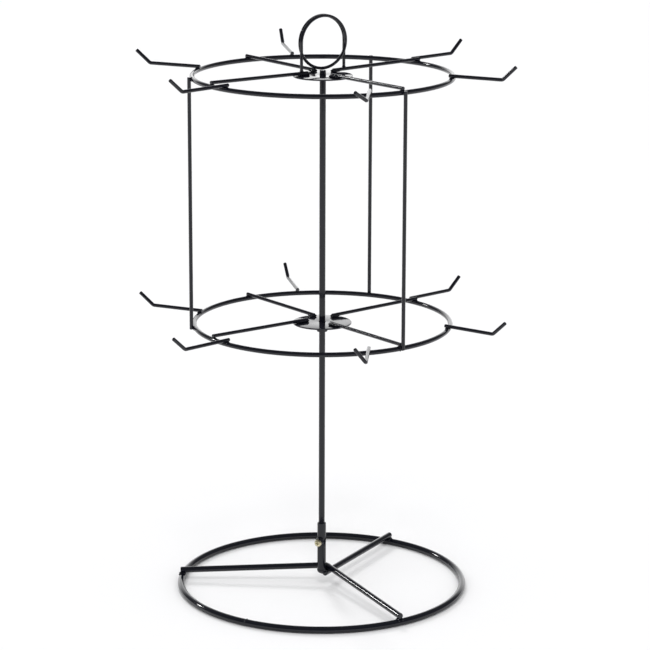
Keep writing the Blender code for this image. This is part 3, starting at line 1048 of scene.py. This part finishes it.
def make_welds(name, body, seams, seed):
    piece = grow(line_object(seams), WELD_TREE, name, Seed=seed, Coating=COAT_ON_WELD)
    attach(piece, body)
    print(f"{name}: {len(seams)} seams, {len(piece.data.polygons)} faces")
    return piece


# %% [markdown]
# ## Welds of the turning frame
# Each spoke is welded to its ring and, along its last few millimetres, to the hub plate. Each hook is
# welded to its ring, each upright to both rings, and the clip stands in two puddles of weld on the spokes.


# %% Frame welds
RING_BEAD = 0.75 * MM
UPRIGHT_BEAD = 0.7 * MM
CLIP_BEAD = 0.85 * MM
PLATE_BEAD = ((0.03, 1.25), (0.35, 1.2), (0.7, 1.05), (1.0, 0.8))  # how far along, and its reach in mm
PLATE_RIM_LEFT = 1.5 * MM


def plate_beads(spoke):
    """Beads on both sides of a spoke, from its inner end to the rim of the hub plate that it lies on."""
    points, radius = PATHS[spoke]
    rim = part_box(f"{spoke.split('_')[0]}_hub_plate")[1].x
    inner, outer = sorted((points[0], points[-1]), key=lambda point: math.hypot(point.x, point.y))
    way = (outer - inner).normalized()
    side = Vector((0, 0, 1)).cross(way)
    length = rim - math.hypot(inner.x, inner.y) - PLATE_RIM_LEFT
    beads = []
    for sign in (-1, 1):
        run = [inner + way * t * length + side * sign * 1.2 * radius - Vector((0, 0, 0.5 * radius))
               for t, reach in PLATE_BEAD]
        beads.append((run, [reach * MM for t, reach in PLATE_BEAD], [0.0] * len(run), False))
    return beads


def puddle(place, spread_out, reach, count=7):
    """A ring of drops round a point, level."""
    return seam([place + spot(spread_out, math.tau * i / count) for i in range(count)], reach, loop=True)


def tier_welds(tier):
    ring, rod = PATHS[f"{tier}_ring"]
    spokes = [f"{tier}_spoke_{i}" for i in range(1, 5)]
    hooks = [f"{tier}_hook_{i}" for i in range(1, 7)]
    uprights = [f"upright_{i}" for i in range(1, 4)]
    seams = []
    for node in spokes + hooks + uprights:
        seams += side_beads(*PATHS[node], closed(ring), rod, UPRIGHT_BEAD if node in uprights else RING_BEAD)
        if node in spokes:
            seams += plate_beads(node)
    return seams


def clip_welds():
    points, radius = PATHS["sign_clip"]
    lift = Vector((0, 0, 0.3 * MM))
    return [puddle(foot + lift, 0.9 * radius, CLIP_BEAD) for foot in (points[0], points[-1])]


make_welds("turning_frame_welds", "turning_frame", tier_welds("lower") + tier_welds("top") + clip_welds(), 3)

# %% [markdown]
# ## Welds of the base and the pole
# The base rods lie across the ring, and the socket stands on them: a dome of weld closes its foot, and
# short seams join it to the rods. The nut sits on the curve of the tube with beads above and below it.
# The ring itself was one straight rod, and the joint where its ends meet stands proud as a small ridge.
# The collar is tacked to the pole from below.


# %% Base welds
RING_CROSSING = 1.15 * MM
SOCKET_SIDE = 1.2 * MM
ROD_CROSSING = 1.1 * MM
TOE = ((0.6, -1.0, -1.2), (1.8, -1.9, -1.4), (2.8, -2.6, -1.6))  # mm from the middle of the socket's foot
TOE_BEAD = 2.2 * MM
FOOT_BEAD = 1.1 * MM
NUT_BEAD = 1.0 * MM
NUT_BEAD_RING = 4.1 * MM  # how far the nut's beads are from the screw's axis
JOINT_BEAD = 0.9 * MM
JOINT_ANGLE = 239.0
COLLAR_BEAD = 0.7 * MM
DOME_TOP = 1.7 * MM  # how far the foot's dome reaches up round the tube


def base_welds():
    ring, rod = PATHS["base_ring"]
    low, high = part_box("base_socket")
    axis = [Vector((0, 0, low.z)), Vector((0, 0, low.z + 14 * MM))]
    cross, cross_radius = PATHS["base_cross_rod"]
    back, back_radius = PATHS["base_back_rod"]
    seams = []
    for run, radius in ((cross[:2], cross_radius), (cross[-2:], cross_radius), (back, back_radius)):
        seams += side_beads(run, radius, closed(ring), rod, RING_CROSSING)
    seams += side_beads(cross, cross_radius, axis, high.x, SOCKET_SIDE)
    seams += side_beads(cross, cross_radius, back, back_radius, ROD_CROSSING)
    seams.append(seam([Vector((x * MM, y * MM, low.z + z * MM)) for x, y, z in TOE], TOE_BEAD))
    foot = [spot(0.92 * high.x, math.radians(d), low.z + 0.2 * MM) for d in range(-20, 140, 16)]
    return seams + [seam(foot, FOOT_BEAD)]


def make_foot():
    """The tube's lower end, closed by a dome of weld that runs over the end of the rod below it."""
    low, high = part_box("base_socket")
    wide, deep = high.x + 0.25 * MM, 0.95 * high.x
    middle = low.z + 0.6 * MM
    turns = [math.radians(90 - 5 * i) for i in range(1, 19)]
    dome = [(0.0, middle - deep)] + [(wide * math.cos(a), middle - deep * math.sin(a)) for a in turns]
    top = low.z + DOME_TOP
    outline = dome + [(wide, low.z + 1.1 * MM), (high.x - 0.3 * MM, top), (0.0, top)]
    mesh = lathe("foot", outline, 0.0)
    coat_with(mesh, COAT_ON_WELD)
    foot = show(mesh, "socket_foot")
    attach(foot, "base")
    print(f"{foot.name}: {len(mesh.polygons)} faces")


def nut_welds():
    """Two short beads above the nut and two below it, where it sits on the curve of the tube."""
    beads = []
    for middle in (90, 270):
        for side in (-1, 1):
            angles = [math.radians(middle + side * d) for d in (14, 26, 38, 48)]
            run = [TO_SCREW @ spot(NUT_BEAD_RING, a, NUT_NEAR - 0.4 * MM) for a in angles]
            beads.append(seam(run, NUT_BEAD))
    return beads


def ring_joint(angle_in_degrees):
    """The raised ridge over the joint of the base ring, round the rod's upper side."""
    ring, rod = PATHS["base_ring"]
    out = spot(1.0, math.radians(angle_in_degrees))
    middle = out * math.hypot(ring[0].x, ring[0].y) + Vector((0, 0, ring[0].z))
    arc = [middle + (out * math.cos(a) + Vector((0, 0, math.sin(a)))) * 0.90 * rod
           for a in (math.radians(d) for d in range(-15, 200, 12))]
    return seam(arc, JOINT_BEAD)


def collar_weld():
    """A ring of weld round the pole, under the collar."""
    under = Vector((0, 0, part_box("stop_collar")[0].z + 0.1 * MM))
    return puddle(under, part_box("pole")[1].x + 0.5 * MM, COLLAR_BEAD, 16)


make_foot()
make_welds("base_welds", "base", base_welds() + nut_welds() + [ring_joint(JOINT_ANGLE)], 5)
make_welds("pole_weld", "pole", [collar_weld()], 7)
